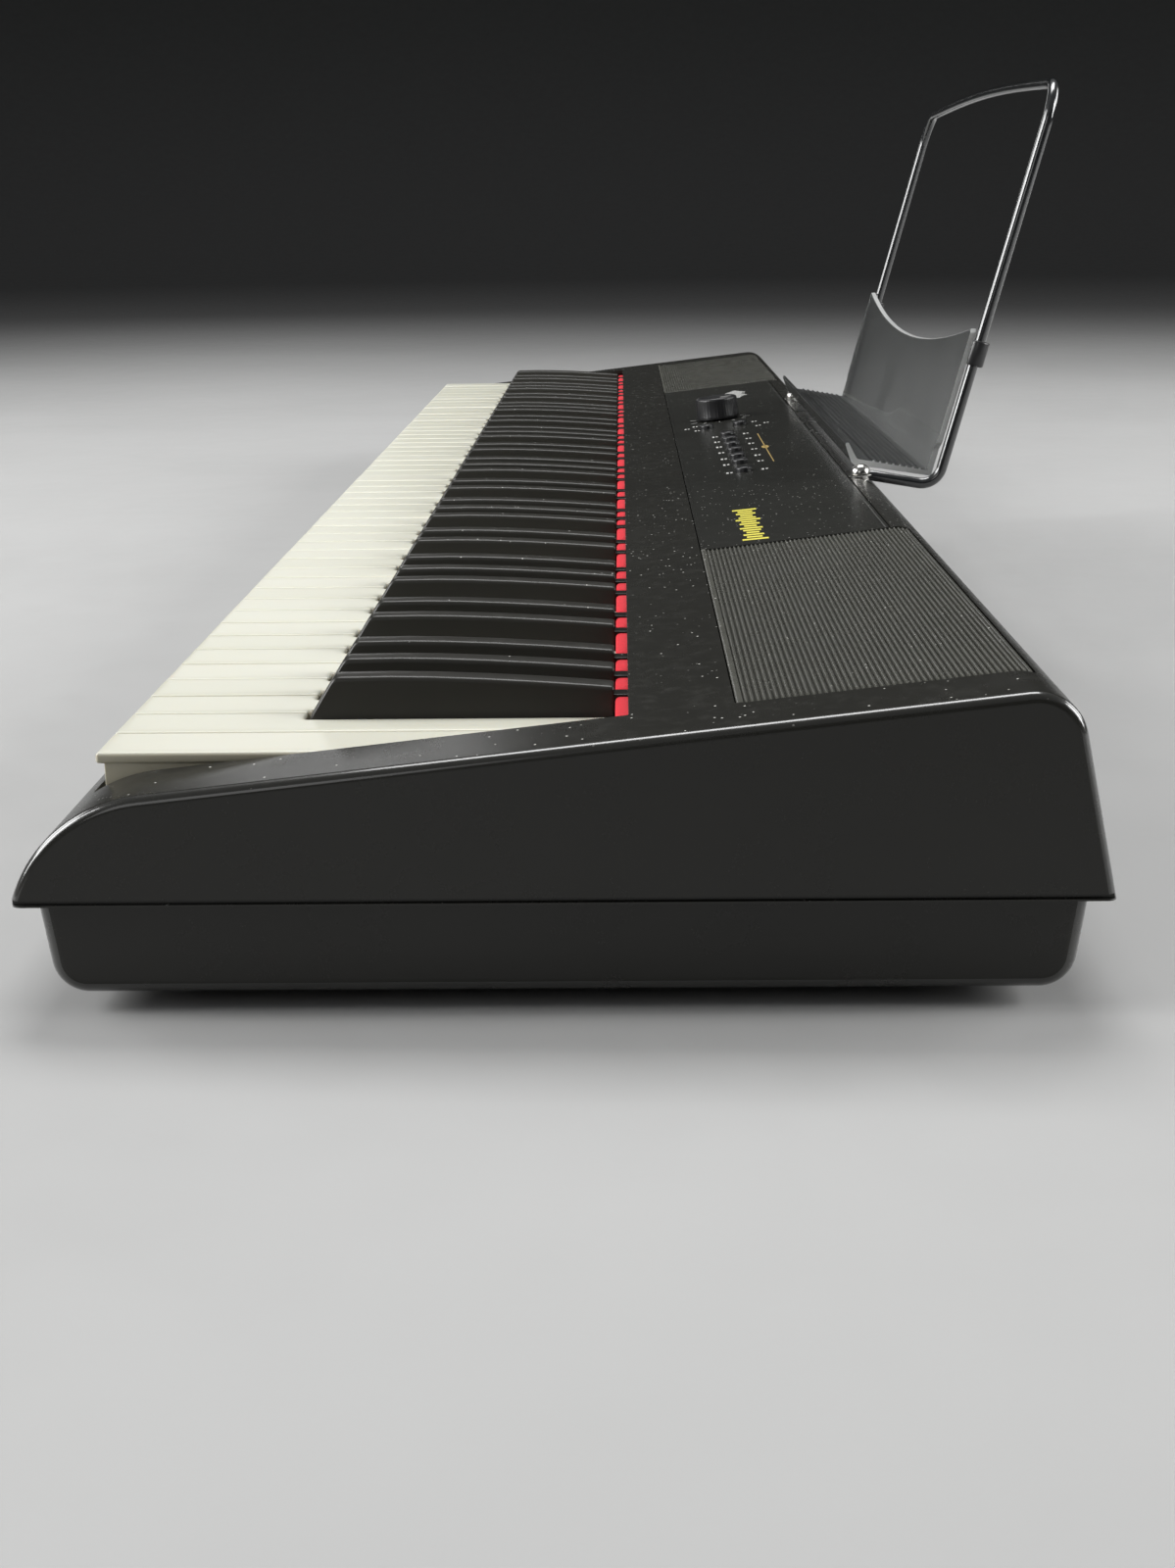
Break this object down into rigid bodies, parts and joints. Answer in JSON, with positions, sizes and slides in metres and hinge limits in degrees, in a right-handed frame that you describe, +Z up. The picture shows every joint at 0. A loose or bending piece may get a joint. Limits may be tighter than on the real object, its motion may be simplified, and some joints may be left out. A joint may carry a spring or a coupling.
{
  "type": "digital stage piano keyboard",
  "caption": "Full-length black digital stage piano with a slanted top, weighted-style keys, ribbed speaker grilles, small control panel and a wire music rest with a clear panel.",
  "frame": {"origin": "bottom centre of the bounding box, on the surface that the rubber feet stand on", "axes": "+X along the keyboard to the treble end (the player's right), +Y away from the player, +Z up"},
  "size_m": [1.28, 0.3504, 0.2596],
  "materials": {
    "case_black": "satin moulded plastic with a fine grain",
    "panel_black": "semi-gloss fascia with printed marks",
    "grille_black": "ribbed moulded plastic",
    "key_white": "smooth glossy ivory plastic",
    "key_black": "satin black plastic",
    "felt_red": "red felt",
    "control_black": "satin black plastic",
    "wire_black": "gloss black powder coat on steel wire",
    "smoked_clear": "smoked clear acrylic",
    "rubber": "matt rubber",
    "chassis_grey": "plain moulded plastic",
    "board_green": "solder-masked circuit board",
    "contact_grey": "moulded silicone rubber",
    "cone_paper": "steel basket and paper cone",
    "nickel": "nickel plated steel"
  },
  "bodies": {
    "case": {"upper_case": "case_black", "lower_case": "case_black", "control_panel": "panel_black", "speaker_grille_treble": "grille_black", "speaker_grille_bass": "grille_black", "felt_strip": "felt_red", "power_inlet": "control_black", "rubber_foot_1": "rubber", "rubber_foot_2": "rubber", "rubber_foot_3": "rubber", "rubber_foot_4": "rubber", "keybed_frame": "chassis_grey", "key_contact_board": "board_green", "main_board": "board_green", "panel_board": "board_green", "contact_rubber_strip": "contact_grey", "speaker_treble": "cone_paper", "speaker_bass": "cone_paper", "pedal_jack": "nickel", "headphone_jack": "nickel", "usb_port": "nickel", "rest_socket_treble": "nickel", "rest_socket_bass": "nickel"},
    "white_keys_0_ab": {"white_keys_0_ab": "key_white"},
    "black_key_0": {"black_key_0": "key_black"},
    "white_keys_1_cegb": {"white_keys_1_cegb": "key_white"},
    "white_keys_1_dfa": {"white_keys_1_dfa": "key_white"},
    "black_keys_1": {"black_keys_1": "key_black"},
    "white_keys_2_cegb": {"white_keys_2_cegb": "key_white"},
    "white_keys_2_dfa": {"white_keys_2_dfa": "key_white"},
    "black_keys_2": {"black_keys_2": "key_black"},
    "white_keys_3_cegb": {"white_keys_3_cegb": "key_white"},
    "white_keys_3_dfa": {"white_keys_3_dfa": "key_white"},
    "black_keys_3": {"black_keys_3": "key_black"},
    "white_keys_4_cegb": {"white_keys_4_cegb": "key_white"},
    "white_keys_4_dfa": {"white_keys_4_dfa": "key_white"},
    "black_keys_4": {"black_keys_4": "key_black"},
    "white_keys_5_cegb": {"white_keys_5_cegb": "key_white"},
    "white_keys_5_dfa": {"white_keys_5_dfa": "key_white"},
    "black_keys_5": {"black_keys_5": "key_black"},
    "white_keys_6_cegb": {"white_keys_6_cegb": "key_white"},
    "white_keys_6_dfa": {"white_keys_6_dfa": "key_white"},
    "black_keys_6": {"black_keys_6": "key_black"},
    "white_keys_7_cegb": {"white_keys_7_cegb": "key_white"},
    "white_keys_7_dfa": {"white_keys_7_dfa": "key_white"},
    "black_keys_7": {"black_keys_7": "key_black"},
    "function_button_1": {"function_button_1": "control_black"},
    "function_button_2": {"function_button_2": "control_black"},
    "function_button_3": {"function_button_3": "control_black"},
    "function_button_4": {"function_button_4": "control_black"},
    "function_button_5": {"function_button_5": "control_black"},
    "function_button_6": {"function_button_6": "control_black"},
    "function_button_7": {"function_button_7": "control_black"},
    "function_button_8": {"function_button_8": "control_black"},
    "power_button": {"power_button": "control_black"},
    "volume_knob": {"volume_knob": "control_black"},
    "music_rest": {"music_rest_frame": "wire_black", "music_rest_panel": "smoked_clear", "rest_clip_treble": "control_black", "rest_clip_bass": "control_black"}
  },
  "joints": [
    {"name": "white_keys_0_ab_press", "type": "hinge", "parent": "case", "child": "white_keys_0_ab", "pos_m": [-0.5875, 0.0073, 0.06385], "axis": [1, 0, 0], "range_deg": [0, 3.3], "stiffness_Nm_per_rad": 0.7, "springref_deg": -11.46},
    {"name": "black_key_0_press", "type": "hinge", "parent": "case", "child": "black_key_0", "pos_m": [-0.5875, 0.0073, 0.06845], "axis": [1, 0, 0], "range_deg": [0, 4.3], "stiffness_Nm_per_rad": 0.35, "springref_deg": -11.46},
    {"name": "white_keys_1_cegb_press", "type": "hinge", "parent": "case", "child": "white_keys_1_cegb", "pos_m": [-0.48175, 0.0073, 0.06385], "axis": [1, 0, 0], "range_deg": [0, 3.3], "stiffness_Nm_per_rad": 1.4, "springref_deg": -11.46},
    {"name": "white_keys_1_dfa_press", "type": "hinge", "parent": "case", "child": "white_keys_1_dfa", "pos_m": [-0.48175, 0.0073, 0.06005], "axis": [1, 0, 0], "range_deg": [0, 3.3], "stiffness_Nm_per_rad": 1.05, "springref_deg": -11.46},
    {"name": "black_keys_1_press", "type": "hinge", "parent": "case", "child": "black_keys_1", "pos_m": [-0.48175, 0.0073, 0.06845], "axis": [1, 0, 0], "range_deg": [0, 4.3], "stiffness_Nm_per_rad": 1.75, "springref_deg": -11.46},
    {"name": "white_keys_2_cegb_press", "type": "hinge", "parent": "case", "child": "white_keys_2_cegb", "pos_m": [-0.31725, 0.0073, 0.06385], "axis": [1, 0, 0], "range_deg": [0, 3.3], "stiffness_Nm_per_rad": 1.4, "springref_deg": -11.46},
    {"name": "white_keys_2_dfa_press", "type": "hinge", "parent": "case", "child": "white_keys_2_dfa", "pos_m": [-0.31725, 0.0073, 0.06005], "axis": [1, 0, 0], "range_deg": [0, 3.3], "stiffness_Nm_per_rad": 1.05, "springref_deg": -11.46},
    {"name": "black_keys_2_press", "type": "hinge", "parent": "case", "child": "black_keys_2", "pos_m": [-0.31725, 0.0073, 0.06845], "axis": [1, 0, 0], "range_deg": [0, 4.3], "stiffness_Nm_per_rad": 1.75, "springref_deg": -11.46},
    {"name": "white_keys_3_cegb_press", "type": "hinge", "parent": "case", "child": "white_keys_3_cegb", "pos_m": [-0.15275, 0.0073, 0.06385], "axis": [1, 0, 0], "range_deg": [0, 3.3], "stiffness_Nm_per_rad": 1.4, "springref_deg": -11.46},
    {"name": "white_keys_3_dfa_press", "type": "hinge", "parent": "case", "child": "white_keys_3_dfa", "pos_m": [-0.15275, 0.0073, 0.06005], "axis": [1, 0, 0], "range_deg": [0, 3.3], "stiffness_Nm_per_rad": 1.05, "springref_deg": -11.46},
    {"name": "black_keys_3_press", "type": "hinge", "parent": "case", "child": "black_keys_3", "pos_m": [-0.15275, 0.0073, 0.06845], "axis": [1, 0, 0], "range_deg": [0, 4.3], "stiffness_Nm_per_rad": 1.75, "springref_deg": -11.46},
    {"name": "white_keys_4_cegb_press", "type": "hinge", "parent": "case", "child": "white_keys_4_cegb", "pos_m": [0.01175, 0.0073, 0.06385], "axis": [1, 0, 0], "range_deg": [0, 3.3], "stiffness_Nm_per_rad": 1.4, "springref_deg": -11.46},
    {"name": "white_keys_4_dfa_press", "type": "hinge", "parent": "case", "child": "white_keys_4_dfa", "pos_m": [0.01175, 0.0073, 0.06005], "axis": [1, 0, 0], "range_deg": [0, 3.3], "stiffness_Nm_per_rad": 1.05, "springref_deg": -11.46},
    {"name": "black_keys_4_press", "type": "hinge", "parent": "case", "child": "black_keys_4", "pos_m": [0.01175, 0.0073, 0.06845], "axis": [1, 0, 0], "range_deg": [0, 4.3], "stiffness_Nm_per_rad": 1.75, "springref_deg": -11.46},
    {"name": "white_keys_5_cegb_press", "type": "hinge", "parent": "case", "child": "white_keys_5_cegb", "pos_m": [0.17625, 0.0073, 0.06385], "axis": [1, 0, 0], "range_deg": [0, 3.3], "stiffness_Nm_per_rad": 1.4, "springref_deg": -11.46},
    {"name": "white_keys_5_dfa_press", "type": "hinge", "parent": "case", "child": "white_keys_5_dfa", "pos_m": [0.17625, 0.0073, 0.06005], "axis": [1, 0, 0], "range_deg": [0, 3.3], "stiffness_Nm_per_rad": 1.05, "springref_deg": -11.46},
    {"name": "black_keys_5_press", "type": "hinge", "parent": "case", "child": "black_keys_5", "pos_m": [0.17625, 0.0073, 0.06845], "axis": [1, 0, 0], "range_deg": [0, 4.3], "stiffness_Nm_per_rad": 1.75, "springref_deg": -11.46},
    {"name": "white_keys_6_cegb_press", "type": "hinge", "parent": "case", "child": "white_keys_6_cegb", "pos_m": [0.34075, 0.0073, 0.06385], "axis": [1, 0, 0], "range_deg": [0, 3.3], "stiffness_Nm_per_rad": 1.4, "springref_deg": -11.46},
    {"name": "white_keys_6_dfa_press", "type": "hinge", "parent": "case", "child": "white_keys_6_dfa", "pos_m": [0.34075, 0.0073, 0.06005], "axis": [1, 0, 0], "range_deg": [0, 3.3], "stiffness_Nm_per_rad": 1.05, "springref_deg": -11.46},
    {"name": "black_keys_6_press", "type": "hinge", "parent": "case", "child": "black_keys_6", "pos_m": [0.34075, 0.0073, 0.06845], "axis": [1, 0, 0], "range_deg": [0, 4.3], "stiffness_Nm_per_rad": 1.75, "springref_deg": -11.46},
    {"name": "white_keys_7_cegb_press", "type": "hinge", "parent": "case", "child": "white_keys_7_cegb", "pos_m": [0.517, 0.0073, 0.06385], "axis": [1, 0, 0], "range_deg": [0, 3.3], "stiffness_Nm_per_rad": 1.75, "springref_deg": -11.46},
    {"name": "white_keys_7_dfa_press", "type": "hinge", "parent": "case", "child": "white_keys_7_dfa", "pos_m": [0.50525, 0.0073, 0.06005], "axis": [1, 0, 0], "range_deg": [0, 3.3], "stiffness_Nm_per_rad": 1.05, "springref_deg": -11.46},
    {"name": "black_keys_7_press", "type": "hinge", "parent": "case", "child": "black_keys_7", "pos_m": [0.50525, 0.0073, 0.06845], "axis": [1, 0, 0], "range_deg": [0, 4.3], "stiffness_Nm_per_rad": 1.75, "springref_deg": -11.46},
    {"name": "function_button_1_press", "type": "slide", "parent": "case", "child": "function_button_1", "axis": [0, 0.1105, -0.9939], "range_m": [0, 0.0011], "stiffness_N_per_m": 300, "springref_m": -0.002},
    {"name": "function_button_2_press", "type": "slide", "parent": "case", "child": "function_button_2", "axis": [0, 0.1105, -0.9939], "range_m": [0, 0.0011], "stiffness_N_per_m": 300, "springref_m": -0.002},
    {"name": "function_button_3_press", "type": "slide", "parent": "case", "child": "function_button_3", "axis": [0, 0.1105, -0.9939], "range_m": [0, 0.0011], "stiffness_N_per_m": 300, "springref_m": -0.002},
    {"name": "function_button_4_press", "type": "slide", "parent": "case", "child": "function_button_4", "axis": [0, 0.1105, -0.9939], "range_m": [0, 0.0011], "stiffness_N_per_m": 300, "springref_m": -0.002},
    {"name": "function_button_5_press", "type": "slide", "parent": "case", "child": "function_button_5", "axis": [0, 0.1105, -0.9939], "range_m": [0, 0.0011], "stiffness_N_per_m": 300, "springref_m": -0.002},
    {"name": "function_button_6_press", "type": "slide", "parent": "case", "child": "function_button_6", "axis": [0, 0.1105, -0.9939], "range_m": [0, 0.0011], "stiffness_N_per_m": 300, "springref_m": -0.002},
    {"name": "function_button_7_press", "type": "slide", "parent": "case", "child": "function_button_7", "axis": [0, 0.1105, -0.9939], "range_m": [0, 0.0011], "stiffness_N_per_m": 300, "springref_m": -0.002},
    {"name": "function_button_8_press", "type": "slide", "parent": "case", "child": "function_button_8", "axis": [0, 0.1105, -0.9939], "range_m": [0, 0.0011], "stiffness_N_per_m": 300, "springref_m": -0.002},
    {"name": "power_button_press", "type": "slide", "parent": "case", "child": "power_button", "axis": [0, 0.1105, -0.9939], "range_m": [0, 0.0011], "stiffness_N_per_m": 300, "springref_m": -0.002},
    {"name": "volume_knob_turn", "type": "hinge", "parent": "case", "child": "volume_knob", "pos_m": [-0.13, 0.04131, 0.08095], "axis": [0, -0.1105, 0.9939], "range_deg": [-150, 150]},
    {"name": "music_rest_lift", "type": "slide", "parent": "case", "child": "music_rest", "axis": [0, 0, 1], "range_m": [0, 0.03]}
  ]
}
